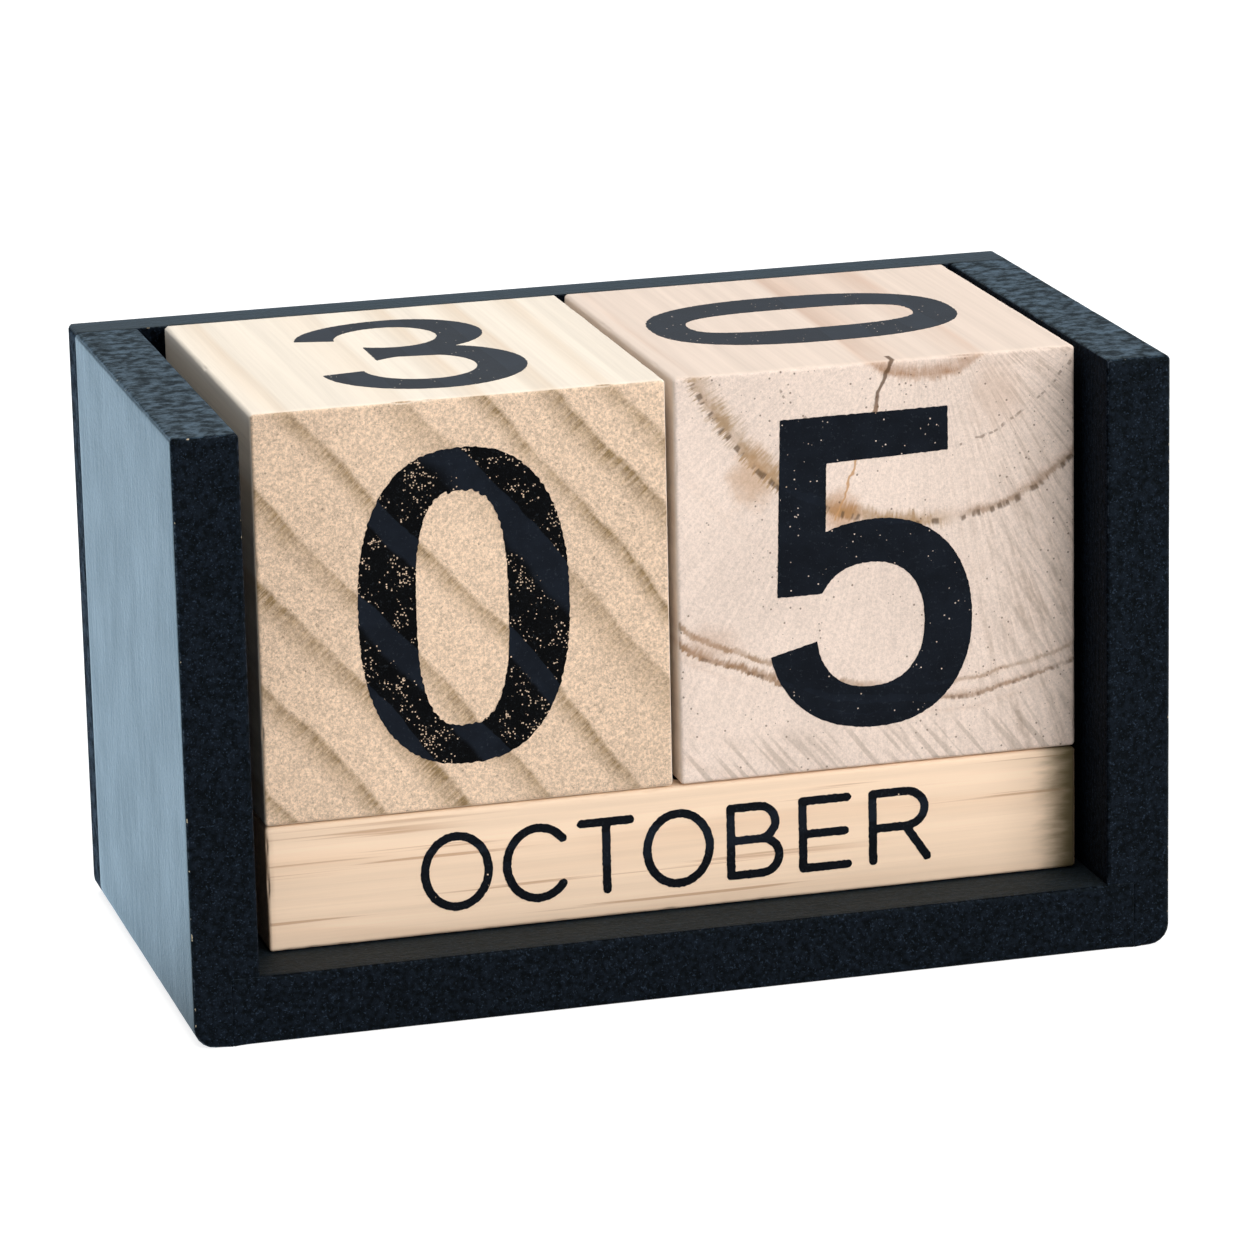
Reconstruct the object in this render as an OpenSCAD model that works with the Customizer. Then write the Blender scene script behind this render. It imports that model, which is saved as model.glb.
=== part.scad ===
// Desk block calendar: two date cubes on three month bars, in an open wooden tray.
// +Z is up, the open front faces -Y, and the origin is the centre of the tray's underside.

/* [Date cubes] */
// Edge length of a date cube
cube_size = 50; // [40:0.5:60]
// Gap between the two date cubes
cube_gap = 0.9; // [0.3:0.1:2]
// How far the cubes stand above the tray's rim
cube_proud = 0.3; // [0:0.1:2]

/* [Month bars] */
// Width and height of a square month bar
bar_size = 15.4; // [12:0.1:20]
// Gap between neighbouring month bars
bar_gap = 0.6; // [0.3:0.1:2]

/* [Blocks] */
// Radius that eases the edges of the cubes and bars
block_ease = 0.6; // [0.2:0.1:1.5]

/* [Tray boards] */
// Thickness of each side board
side_t = 8; // [7:0.5:12]
// Thickness of the base board
base_t = 8.2; // [7:0.1:12]
// Thickness of the back panel
back_t = 6; // [4:0.5:10]
// Depth of the rabbet in each side that takes the end of the base
rabbet_d = 3.4; // [2:0.1:4]
// Radius of the tray's two lower corners, seen from the front
corner_r = 2.5; // [1:0.5:3]
// Radius of the back panel's two upright rear edges
rear_r = 1.5; // [0.5:0.5:3]

/* [Clearances] */
// Room left of the blocks
left_play = 2.9; // [0.5:0.1:5]
// Room right of the blocks
right_play = 1.2; // [0.5:0.1:5]
// Room behind the deepest blocks
rear_play = 0.8; // [0.3:0.1:3]
// Distance from the tray's front edge back to the blocks
front_setback = 8; // [2:0.5:12]
// Height left between stacked pieces for their printed faces
rest_gap = 0.1; // [0.05:0.01:0.3]

/* [Brads] */
// Diameter of a brad's shank
brad_d = 1.2; // [0.8:0.1:1.6]
// Diameter of a brad's head
brad_head_d = 2; // [1.7:0.1:2.4]
// Height of a brad's head
brad_head_h = 0.5; // [0.3:0.1:0.8]
// Length of a brad, head included
brad_len = 16; // [12:1:20]
// Depth of the filler over each brad's head
brad_set = 0.8; // [0.5:0.1:1.5]
// Radial room around a brad in its hole
brad_room = 0.02; // [0:0.01:0.05]
// Distance from a board's end to the brads nearest it
brad_inset = 11; // [8:1:16]
// Number of brads through each side into the base
base_brads = 2; // [2:1:4]
// Number of brads through the back panel into each side
back_side_brads = 3; // [2:1:5]
// Number of brads through the back panel into the base
back_base_brads = 3; // [2:1:5]

/* [Hidden] */
$fn = 64;
overcut = 1;

pine = [0.87, 0.72, 0.55];
painted = [0.07, 0.09, 0.13];
steel = [0.6, 0.6, 0.62];

bars_d = 3 * bar_size + 2 * bar_gap;
blocks_w = 2 * cube_size + cube_gap;
blocks_d = max(cube_size, bars_d);
inner_w = left_play + blocks_w + right_play;
tray_w = inner_w + 2 * side_t;
tray_d = front_setback + blocks_d + rear_play + back_t;

bars_z = base_t + rest_gap;
cubes_z = bars_z + bar_size + rest_gap;
tray_h = cubes_z + cube_size - cube_proud;

tray_front = -tray_d / 2;
panel_front = tray_d / 2 - back_t;
side_d = panel_front - tray_front;
blocks_x = left_play - inner_w / 2;
blocks_y = tray_front + front_setback;
base_w = inner_w + 2 * rabbet_d;
// The brads through the panel into the base start past the tips of those through the sides
rear_row_w = tray_w - 2 * (brad_set + brad_len + brad_inset);

BASE_BRADS = [for (s = ["left", "right"], i = [1:base_brads]) str(s, "_base_brad_", i)];
SIDE_BRADS = [for (s = ["left", "right"], i = [1:back_side_brads]) str(s, "_back_brad_", i)];
REAR_BRADS = [for (i = [1:back_base_brads]) str("rear_base_brad_", i)];
BARS = ["front_month_bar", "middle_month_bar", "rear_month_bar"];

// The i-th of n places spread evenly from low to high, both ends included
function spread(low, high, n, i) = low + (high - low) * (i - 1) / (n - 1);

// Where the brads of each row lie along their board
function base_brad_y(i) = spread(tray_front + brad_inset, panel_front - brad_inset, base_brads, i);
function side_brad_z(i) = spread(base_t + brad_inset, tray_h - brad_inset, back_side_brads, i);
function rear_brad_x(i) = spread(-rear_row_w / 2, rear_row_w / 2, back_base_brads, i);

// A rectangle from the origin with all four corners rounded
module rounded_rect(w, h, r) {
    translate([r, 0]) square([w - 2 * r, h]);
    translate([0, r]) square([w, h - 2 * r]);
    for (x = [r, w - r], y = [r, h - r]) translate([x, y]) circle(r);
}

// What a rounded corner at the origin leaves out of the first quadrant
module corner_waste(r) {
    difference() {
        translate([-overcut, -overcut]) square(r + overcut);
        translate([r, r]) circle(r);
    }
}

// Extrudes an X-Z outline along +Y
module extrude_y(depth) {
    translate([0, depth, 0]) rotate([90, 0, 0]) linear_extrude(depth) children();
}

// A wooden block from the origin, eased along all twelve edges
module eased_block(w, d, h, r) {
    intersection() {
        linear_extrude(h) rounded_rect(w, d, r);
        extrude_y(d) rounded_rect(w, h, r);
        rotate([90, 0, 90]) linear_extrude(w) rounded_rect(d, h, r);
    }
}

// A brad lying along +X with the top of its head at the origin
module brad_form(room) {
    rotate([0, 90, 0]) {
        translate([0, 0, -room]) cylinder(d = brad_head_d + 2 * room, h = brad_head_h + 2 * room);
        cylinder(d = brad_d + 2 * room, h = brad_len);
    }
}

// A brad driven through the left or right side, s = -1 or 1, into the end of the base
module base_brad_at(s, i, room = 0) {
    translate([s * (tray_w / 2 - brad_set), base_brad_y(i), base_t / 2])
        mirror([s > 0 ? 1 : 0, 0, 0]) brad_form(room);
}

// A brad driven forward through the back panel, at x and z
module back_brad_at(x, z, room = 0) {
    translate([x, tray_d / 2 - brad_set, z]) rotate([0, 0, -90]) brad_form(room);
}

// A brad driven through the back panel into the middle of a side's edge
module side_brad_at(s, i, room = 0) {
    back_brad_at(s * (tray_w - side_t) / 2, side_brad_z(i), room);
}

// A brad driven through the back panel into the base
module rear_brad_at(i, room = 0) {
    back_brad_at(rear_brad_x(i), base_t / 2, room);
}

module base_brad(s, i) {
    color(steel) base_brad_at(s, i);
}

module side_brad(s, i) {
    color(steel) side_brad_at(s, i);
}

module rear_brad(i) {
    color(steel) rear_brad_at(i);
}

// The holes that every brad makes in the boards it passes through
module brad_holes() {
    for (s = [-1, 1]) {
        for (i = [1:base_brads]) base_brad_at(s, i, brad_room);
        for (i = [1:back_side_brads]) side_brad_at(s, i, brad_room);
    }
    for (i = [1:back_base_brads]) rear_brad_at(i, brad_room);
}

module base() {
    color(painted) difference() {
        translate([-base_w / 2, tray_front, 0]) cube([base_w, side_d, base_t]);
        brad_holes();
    }
}

// A side board, standing at the left for s = -1 and at the right for s = 1
module side(s) {
    color(painted) difference() {
        mirror([s > 0 ? 1 : 0, 0, 0]) translate([-tray_w / 2, tray_front, 0])
            extrude_y(side_d) difference() {
                square([side_t, tray_h]);
                translate([side_t - rabbet_d, -overcut]) square([rabbet_d + overcut, base_t + overcut]);
                corner_waste(corner_r);
            }
        brad_holes();
    }
}

module left_side() {
    side(-1);
}

module right_side() {
    side(1);
}

module back_panel() {
    color(painted) difference() {
        translate([-tray_w / 2, panel_front, 0]) cube([tray_w, back_t, tray_h]);
        for (m = [0, 1]) mirror([m, 0, 0]) {
            translate([-tray_w / 2, panel_front - overcut, 0])
                extrude_y(back_t + 2 * overcut) corner_waste(corner_r);
            translate([-tray_w / 2, tray_d / 2, -overcut])
                linear_extrude(tray_h + 2 * overcut) mirror([0, 1]) corner_waste(rear_r);
        }
        brad_holes();
    }
}

// A date cube, i = 0 for the left one and 1 for the right one
module date_cube(i) {
    color(pine) translate([blocks_x + i * (cube_size + cube_gap), blocks_y, cubes_z])
        eased_block(cube_size, cube_size, cube_size, block_ease);
}

module left_date_cube() {
    date_cube(0);
}

module right_date_cube() {
    date_cube(1);
}

// A month bar, i = 0 for the front one to 2 for the rear one
module month_bar(i) {
    color(pine) translate([blocks_x, blocks_y + i * (bar_size + bar_gap), bars_z])
        eased_block(blocks_w, bar_size, bar_size, block_ease);
}

base();
left_side();
right_side();
back_panel();
left_date_cube();
right_date_cube();
for (i = [0:2])
    month_bar(i);
for (k = [0:1], i = [1:base_brads])
    base_brad(2 * k - 1, i);
for (k = [0:1], i = [1:back_side_brads])
    side_brad(2 * k - 1, i);
for (i = [1:back_base_brads])
    rear_brad(i);
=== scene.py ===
"""A flip desk calendar: two date cubes on three month bars, in a painted wooden tray.

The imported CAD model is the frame. This script builds the boards, the blocks and their printing round it,
with their materials, the light and the camera. Lengths in the code are millimetres in the CAD's own frame,
and each mesh is scaled to metres as it is made. +Z is up and the open front faces -Y.
"""

import math

import bpy
import numpy as np
from mathutils import Euler, Matrix, Vector, geometry, noise


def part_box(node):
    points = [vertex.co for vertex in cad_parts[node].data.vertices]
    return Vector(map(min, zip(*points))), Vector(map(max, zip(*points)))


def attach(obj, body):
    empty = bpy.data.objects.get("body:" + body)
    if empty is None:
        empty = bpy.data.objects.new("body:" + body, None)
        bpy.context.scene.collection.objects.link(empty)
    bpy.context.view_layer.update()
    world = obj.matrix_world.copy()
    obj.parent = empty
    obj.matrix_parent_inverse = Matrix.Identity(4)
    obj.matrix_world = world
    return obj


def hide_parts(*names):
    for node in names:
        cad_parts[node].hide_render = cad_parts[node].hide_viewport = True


MM = 0.001
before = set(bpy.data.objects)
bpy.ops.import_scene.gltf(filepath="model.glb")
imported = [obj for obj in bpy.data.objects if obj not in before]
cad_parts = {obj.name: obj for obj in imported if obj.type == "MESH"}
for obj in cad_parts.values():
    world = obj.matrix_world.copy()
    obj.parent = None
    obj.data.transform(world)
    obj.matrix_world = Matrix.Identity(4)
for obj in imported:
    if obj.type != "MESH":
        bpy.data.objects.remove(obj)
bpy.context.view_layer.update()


def box_mm(node):
    """A CAD node's lowest and highest corners, in millimetres."""
    low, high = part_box(node)
    return np.array(low) / MM, np.array(high) / MM


# ---------------------------------------------------------------- sizes

PRINT_T = 0.05  # the printed faces stand this far proud of the wood
PRINT_SINK = 0.02  # how far a print reaches into the wood
PRINT_SHORT = 0.01  # how far a print stops short of the CAD face
BLOCK_STEP = 0.6  # mesh spacing along the blocks' edges
BOARD_STEP = 0.9
ARC_STEPS = 5
EASE_STEPS = 4
LEAST_R = 0.03  # the least corner radius on an eased end
STRAIGHT_ON = 0.5  # a corner that turns less than this is only a change of ease
CAP_STEP = 3.0  # spacing of the points inside a flat end
CAP_GUARD = 0.3  # a narrow flat strip round each end, which keeps the shading of the flat even

TRAY_LOW = np.minimum(box_mm("left_side")[0], box_mm("back_panel")[0])
TRAY_HIGH = np.maximum(box_mm("right_side")[1], box_mm("back_panel")[1])
PANEL_FRONT = box_mm("back_panel")[0][1]
BASE_TOP = box_mm("base")[1][2]
RABBET_X = box_mm("base")[1][0]
WALL_X = box_mm("right_side")[0][0]
CORNER_R = 2.5  # the tray's lower corners, seen from the front
REAR_R = 1.5  # the back panel's upright rear edges
BLOCK_EASE = 0.42
BOARD_EASE = 0.5
INNER_EASE = 0.35
JOINT_EASE = 0.07  # a hairline where two boards meet
SEAM_EASE = 0.16  # the slightly wider seam round the back panel
TAPER = 0.9  # the length over which an eased edge runs out into a joint

FRONT, BACK = (0, -1, 0), (0, 1, 0)
LEFT, RIGHT = (-1, 0, 0), (1, 0, 0)
UP, DOWN = (0, 0, 1), (0, 0, -1)

# ---------------------------------------------------------------- outlines and blocks


def unit(vector):
    return vector / np.linalg.norm(vector)


def inward(way):
    """The inward side of an edge that runs this way round an anticlockwise outline."""
    return np.array([-way[1], way[0]])


def corner_ways(corners, i):
    """The directions in which an outline comes to its corner i and leaves it, and which way it turns."""
    here = np.array(corners[i][:2])
    coming = unit(here - corners[i - 1][:2])
    going = unit(np.array(corners[(i + 1) % len(corners)][:2]) - here)
    return here, coming, going, coming[0] * going[1] - coming[1] * going[0]


def outline_ring(corners, counts, insets, eases):
    """One ring of points round an outline, with every edge moved inwards by its own inset.

    Gives the points and, for each, the ease that belongs to it. An edge belongs to the corner it follows.
    """
    arcs = []
    for i, corner in enumerate(corners):
        here, coming, going, turn = corner_ways(corners, i)
        before, after = insets[i - 1], insets[i]
        mean_ease = (eases[i - 1] + eases[i]) / 2
        if abs(turn) < STRAIGHT_ON:
            arcs.append([(here + (before + after) / 2 * inward(going), mean_ease)])
            continue
        radius = max(corner[2] - turn * (before + after) / 2, LEAST_R)
        middle = here + before * inward(coming) + after * inward(going) + radius * (going - coming)
        arc_points = []
        for k in range(ARC_STEPS + 1):
            angle = math.pi / 2 * k / ARC_STEPS
            spoke = coming * math.sin(angle) - going * math.cos(angle)
            ease = eases[i - 1] + (eases[i] - eases[i - 1]) * k / ARC_STEPS
            arc_points.append((middle + radius * spoke, ease))
        arcs.append(arc_points)
    ring = []
    for i, count in enumerate(counts):
        ring += arcs[i]
        start, stop = arcs[i][-1][0], arcs[(i + 1) % len(arcs)][0][0]
        ring += [(start + (stop - start) * k / count, eases[i]) for k in range(1, count)]
    return np.array([point for point, _ in ring]), np.array([ease for _, ease in ring])


def holds(loop, point):
    """Whether a point is inside a loop, by counting the edges to its right."""
    x, y = loop[:, 0], loop[:, 1]
    x2, y2 = np.roll(x, -1), np.roll(y, -1)
    straddles = (y > point[1]) != (y2 > point[1])
    crossing = x[straddles] + (point[1] - y[straddles]) / (y2 - y)[straddles] * (x2 - x)[straddles]
    return np.count_nonzero(crossing > point[0]) % 2 == 1


def filled(outline):
    """Well-shaped triangles over a flat end: the points added inside it, and the triangles."""
    low, high = outline.min(axis=0), outline.max(axis=0)
    spots = []
    for x in np.arange(low[0] + CAP_STEP / 2, high[0], CAP_STEP):
        for y in np.arange(low[1] + CAP_STEP / 2, high[1], CAP_STEP):
            clear = np.hypot(outline[:, 0] - x, outline[:, 1] - y).min() > CAP_STEP / 3
            if clear and holds(outline, (x, y)):
                spots.append((x, y))
    size = len(outline)
    points = [Vector(point) for point in (*outline.tolist(), *spots)]
    sides = [(k, (k + 1) % size) for k in range(size)]
    _, _, triangles, sources, _, _ = geometry.delaunay_2d_cdt(points, sides, [], 1, 1e-7)
    return np.array(spots), [[sources[v][0] for v in triangle] for triangle in triangles]


def set_out(points, place, along_x):
    """Points of an outline in the frame, at their places along the sweep."""
    if along_x:
        return np.column_stack([place, -points[:, 0], points[:, 1]])
    return np.column_stack([points[:, 0], place, points[:, 1]])


def swept_block(name, corners, low, high, step, along_x=False):
    """A solid made by sweeping an outline from low to high, with both ends eased.

    Each corner is (x, z, radius, near ease, far ease), anticlockwise seen from the low end. The sweep runs
    along +Y, or along +X if along_x is set, and then the outline's x is the frame's -Y.
    """
    counts = []
    for i, corner in enumerate(corners):
        after = corners[(i + 1) % len(corners)]
        length = math.dist(corner[:2], after[:2]) - corner[2] - after[2]
        counts.append(max(1, round(length / step)))
    near, far = [np.array([corner[k] for corner in corners]) for k in (3, 4)]
    flat = np.zeros(len(corners))

    def end_rings(eases, place, sign):
        cap, _ = outline_ring(corners, counts, eases + CAP_GUARD, eases)
        made = [(cap, np.full(len(cap), place))]
        for k in range(EASE_STEPS + 1):
            angle = math.pi / 2 * k / EASE_STEPS
            points, own = outline_ring(corners, counts, eases * (1 - math.sin(angle)), eases)
            made.append((points, place + sign * own * (1 - math.cos(angle))))
        return made

    rings = end_rings(near, low, 1)
    start, stop = low + near.max(), high - far.max()
    steps = max(2, round((stop - start) / step))
    body, _ = outline_ring(corners, counts, flat, flat)
    for k in range(1, steps):
        rings.append((body, np.full(len(body), start + (stop - start) * k / steps)))
    rings += reversed(end_rings(far, high, -1))
    sections = [set_out(points, place, along_x) for points, place in rings]
    size = len(body)
    faces = []
    for j in range(len(rings) - 1):
        for i in range(size):
            k = (i + 1) % size
            faces.append([j * size + i, (j + 1) * size + i, (j + 1) * size + k, j * size + k])
    count = len(rings) * size
    for ring_start, (outline, place), turn in ((0, rings[0], 1), (count - size, rings[-1], -1)):
        spots, triangles = filled(outline)
        sections.append(set_out(spots, np.full(len(spots), place[0]), along_x))
        for triangle in triangles:
            ids = [ring_start + v if v < size else count + v - size for v in triangle]
            faces.append(ids[::turn])
        count += len(spots)
    return new_mesh(name, np.vstack(sections), faces)


def new_mesh(name, points, faces, smooth=True):
    """An object in the scene from points in millimetres."""
    mesh = bpy.data.meshes.new(name)
    mesh.from_pydata((np.asarray(points) * MM).tolist(), [], faces)
    mesh.polygons.foreach_set("use_smooth", [smooth] * len(mesh.polygons))
    mesh.update()
    made = bpy.data.objects.new(name, mesh)
    bpy.context.scene.collection.objects.link(made)
    return made


SHARP_BEND = 0.29  # 1 minus the largest part of the normal halfway round an edge


def wear_edges(piece, rub, chip, seed):
    """Rubs the edges down unevenly and takes small chips out of them, always inwards.

    The point attribute "edge" keeps how far each point is round an edge, for the materials.
    """
    mesh = piece.data
    count = len(mesh.vertices)
    places, normals = np.empty(count * 3), np.empty(count * 3)
    mesh.vertices.foreach_get("co", places)
    mesh.vertices.foreach_get("normal", normals)
    places, normals = places.reshape(-1, 3), normals.reshape(-1, 3)
    bend = np.clip((1 - np.abs(normals).max(axis=1)) / SHARP_BEND, 0, 1.4)
    shift = Vector((seed * 17.3, seed * 5.1, seed * 9.7))
    for i in np.flatnonzero(bend > 0.03):
        at = Vector(places[i] / MM)
        slow = noise.noise(at * 0.16 + shift)
        quick = noise.noise(at * 0.9 + shift)
        bite = max(0.0, noise.noise(at * 0.55 - shift) - 0.36)
        depth = rub * (0.5 + 0.9 * slow + 0.5 * quick) + chip * bite
        places[i] -= normals[i] * bend[i] * max(0.0, depth) * MM
    mesh.vertices.foreach_set("co", places.ravel())
    edge = mesh.attributes.new("edge", "FLOAT", "POINT")
    edge.data.foreach_set("value", bend.astype(np.float32))
    mesh.update()


def mirrored(corners):
    """The same corners on the other side of x = 0, still anticlockwise."""
    flipped = []
    for i in range(len(corners) - 1, -1, -1):
        x, z, radius, _, _ = corners[i]
        flipped.append((-x, z, radius, *corners[i - 1][3:]))
    return flipped


# ---------------------------------------------------------------- node helper


class Nodes:
    """Adds nodes to a tree. Values can be sockets, which are linked, or plain numbers."""

    def __init__(self, tree):
        self.tree = tree
        self.texture = tree.nodes.new("ShaderNodeTexCoord")

    def put(self, socket, value):
        if isinstance(value, bpy.types.NodeSocket):
            self.tree.links.new(value, socket)
        elif value is not None:
            socket.default_value = value

    def add(self, kind, values=(), output=0, named=None, **settings):
        """A node of this kind, with its first inputs from values, and others by name. Gives one output."""
        node = self.tree.nodes.new("ShaderNode" + kind)
        for key, setting in settings.items():
            setattr(node, key, setting)
        for socket, value in zip(node.inputs, values):
            self.put(socket, value)
        for key, value in (named or {}).items():
            self.put(node.inputs[key], value)
        return node.outputs[output]

    def math(self, operation, *values):
        return self.add("Math", values, operation=operation)

    def plus(self, a, b):
        return self.math("ADD", a, b)

    def times(self, a, b):
        return self.math("MULTIPLY", a, b)

    def flipped(self, value):
        return self.math("SUBTRACT", 1.0, value)

    def fit(self, value, low, high, to_low=0.0, to_high=1.0):
        """Smooth change from to_low at low to to_high at high."""
        values = (value, low, high, to_low, to_high)
        return self.add("MapRange", values, interpolation_type="SMOOTHSTEP")

    def scaled(self, vector, x, y, z):
        return self.add("VectorMath", (vector, (x, y, z)), operation="MULTIPLY")

    def joined(self, x, y, z):
        return self.add("CombineXYZ", (x, y, z))

    def apart(self, vector):
        node = self.tree.nodes.new("ShaderNodeSeparateXYZ")
        self.put(node.inputs[0], vector)
        return tuple(node.outputs)

    def noise(self, vector, scale=1.0, detail=2.0, rough=0.5):
        named = {"Vector": vector, "Scale": scale, "Detail": detail, "Roughness": rough}
        return self.add("TexNoise", named=named)

    def grains(self, vector, size):
        """Rounded grains of about this size: a random value for each, and how far inside it a place is."""
        node = self.tree.nodes.new("ShaderNodeTexVoronoi")
        self.put(node.inputs["Vector"], vector)
        self.put(node.inputs["Scale"], 1 / size)
        return self.apart(node.outputs["Color"])[0], self.fit(node.outputs["Distance"], 0.62, 0.3)

    def blend(self, share, a, b, blend_type="MIX"):
        node = self.tree.nodes.new("ShaderNodeMix")
        node.data_type = "RGBA"
        node.blend_type = blend_type
        for index, value in ((0, share), (6, a), (7, b)):
            self.put(node.inputs[index], value)
        return node.outputs[2]

    def shade(self, colour, amount):
        """The colour times an amount."""
        return self.add("VectorMath", (colour, self.joined(amount, amount, amount)), operation="MULTIPLY")

    def ramp(self, share, stops):
        """A grey ramp through (place, value) stops."""
        node = self.tree.nodes.new("ShaderNodeValToRGB")
        self.put(node.inputs[0], share)
        elements = node.color_ramp.elements
        while len(elements) < len(stops):
            elements.new(0.5)
        for element, (place, value) in zip(elements, stops):
            element.position = place
            element.color = (value, value, value, 1)
        return node.outputs[0]

    def position(self):
        """Object coordinates in millimetres."""
        values = (self.texture.outputs["Object"], None, None, 1 / MM)
        return self.add("VectorMath", values, operation="SCALE")

    def bump(self, height, strength, distance, under=None):
        named = {"Height": height, "Strength": strength, "Distance": distance * MM, "Normal": under}
        return self.add("Bump", named=named)


def srgb(red, green, blue):
    """A linear colour from 8-bit values."""
    linear = []
    for value in (red, green, blue):
        c = value / 255
        linear.append(c / 12.92 if c <= 0.04045 else ((c + 0.055) / 1.055) ** 2.4)
    return (*linear, 1.0)


def new_material(name):
    material = bpy.data.materials.new(name)
    material.use_nodes = True
    nodes = Nodes(material.node_tree)
    shader = material.node_tree.nodes["Principled BSDF"]
    return material, nodes, shader


# ---------------------------------------------------------------- wood

CUBE_LOW, CUBE_HIGH = box_mm("left_date_cube")
CUBE_SIZE = CUBE_HIGH[0] - CUBE_LOW[0]
RIGHT_LOW, RIGHT_HIGH = box_mm("right_date_cube")
BAR_LOW, BAR_HIGH = box_mm("front_month_bar")


def ring_stops(rings, low, high):
    """Ramp stops for rings of (radius, strength, onset): each darkens slowly outwards and ends abruptly."""
    end = 0.35
    stops = [(0.0, 0.0)]
    for radius, strength, onset in rings:
        for place, value in ((radius - onset, 0.0), (radius - 0.15, strength), (radius + end, 0.0)):
            share = (place - low) / (high - low)
            stops.append((max(share, stops[-1][0] + 0.0005), value))
    return stops


def wood_group(name, wood):
    """A node group of solid pine round a pith line. Gives Color, Late, End and Height."""
    tree = bpy.data.node_groups.new(name, "ShaderNodeTree")
    for title, kind in (("Color", "Color"), ("Late", "Float"), ("End", "Float"), ("Height", "Float")):
        tree.interface.new_socket(name=title, in_out="OUTPUT", socket_type="NodeSocket" + kind)
    n = Nodes(tree)
    place = n.position()
    x, y, z = n.apart(place)
    facing = n.apart(n.texture.outputs["Normal"])
    along_x = wood["fibre"] == "x"
    fibre, side = (x, y) if along_x else (y, x)
    end = n.fit(n.math("ABSOLUTE", facing[0 if along_x else 1]), 0.55, 0.8)
    pith_side, pith_up = wood["pith"]
    across = n.math("SUBTRACT", side, pith_side)
    up = n.math("SUBTRACT", z, pith_up)
    grain = n.joined(across, fibre, up)
    sway = n.math("SUBTRACT", n.noise(n.scaled(grain, 0.07, 0.012, 0.07), detail=1.0), 0.5)
    ripple = n.math("SUBTRACT", n.noise(n.scaled(grain, 0.5, 0.02, 0.5), detail=2.0), 0.5)
    bent = n.plus(n.times(sway, wood["sway"]), n.times(ripple, wood["ripple"]))
    radius = n.plus(n.add("VectorMath", (n.joined(across, 0.0, up),), 1, operation="LENGTH"), bent)
    low, high = wood["span"]
    share = n.math("DIVIDE", n.math("SUBTRACT", radius, low), high - low)
    late = n.ramp(share, ring_stops(wood["rings"], low, high))
    patchy = n.noise(n.scaled(grain, 0.12, 0.02, 0.12), detail=3.0, rough=0.6)
    late = n.times(late, n.fit(patchy, 0.3, 0.62, wood["faint"], 1.0))

    angle = n.math("ARCTAN2", up, across)
    ray_place = n.joined(n.times(angle, wood["ray_count"]), n.times(radius, 0.1), 0.0)
    rays = n.noise(ray_place, detail=3.0, rough=0.7)
    cells = n.noise(n.scaled(grain, 1.0, 0.5, 1.0), scale=2.6, detail=3.0, rough=0.85)
    specks = n.fit(n.noise(n.scaled(grain, 1.0, 0.5, 1.0), scale=2.1, detail=2.0, rough=0.8), 0.62, 0.72)
    tone = n.noise(n.scaled(grain, 0.06, 0.01, 0.06), detail=2.0)
    fibres = n.noise(n.scaled(grain, 2.4, 0.045, 2.4), detail=3.0, rough=0.6)
    streaks = n.noise(n.scaled(grain, 0.45, 0.008, 0.45), detail=2.0)

    comb = n.fit(rays, 0.35, 0.65, 0.55, 1.25)
    dark_ring = n.times(n.math("POWER", late, 1.1), n.times(comb, wood["late_end"]))
    end_colour = n.blend(dark_ring, wood["end_early"], wood["end_late"])
    end_tone = n.plus(n.fit(cells, 0.34, 0.66, -wood["cells"], wood["cells"]), 1.0)
    end_tone = n.plus(end_tone, n.fit(rays, 0.3, 0.7, -wood["rays"], wood["rays"]))
    glints = n.fit(n.noise(n.scaled(grain, 1.0, 0.5, 1.0), scale=2.9, detail=2.0, rough=0.8), 0.6, 0.7)
    end_tone = n.plus(end_tone, n.times(specks, -wood["pits"]))
    end_tone = n.plus(end_tone, n.times(glints, 0.45 * wood["pits"]))
    end_tone = n.plus(end_tone, n.fit(tone, 0.3, 0.7, -0.05, 0.05))
    pick, inside = n.grains(grain, 0.3)
    grit = n.times(n.plus(n.times(pick, 2.0), -1.0), wood["grit"])
    end_tone = n.plus(end_tone, n.times(grit, inside))
    end_colour = n.shade(end_colour, end_tone)
    long_colour = n.blend(n.times(late, wood["late_long"]), wood["long_early"], wood["long_late"])
    long_tone = n.plus(n.fit(fibres, 0.3, 0.7, -0.03, 0.02), 1.0)
    long_tone = n.plus(long_tone, n.fit(streaks, 0.3, 0.7, -0.06, 0.04))
    long_colour = n.shade(long_colour, long_tone)
    colour = n.blend(end, long_colour, end_colour)
    for mark in wood["marks"]:
        colour = mark(n, colour, x, y, z, radius, angle, end, grain)

    open_cells = n.times(n.flipped(n.times(late, 0.8)), cells)
    height = n.add("Mix", (end, None, n.times(fibres, 0.35), open_cells))
    out = tree.nodes.new("NodeGroupOutput")
    for title, value in (("Color", colour), ("Late", late), ("End", end), ("Height", height)):
        n.put(out.inputs[title], value)
    return tree


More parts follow.
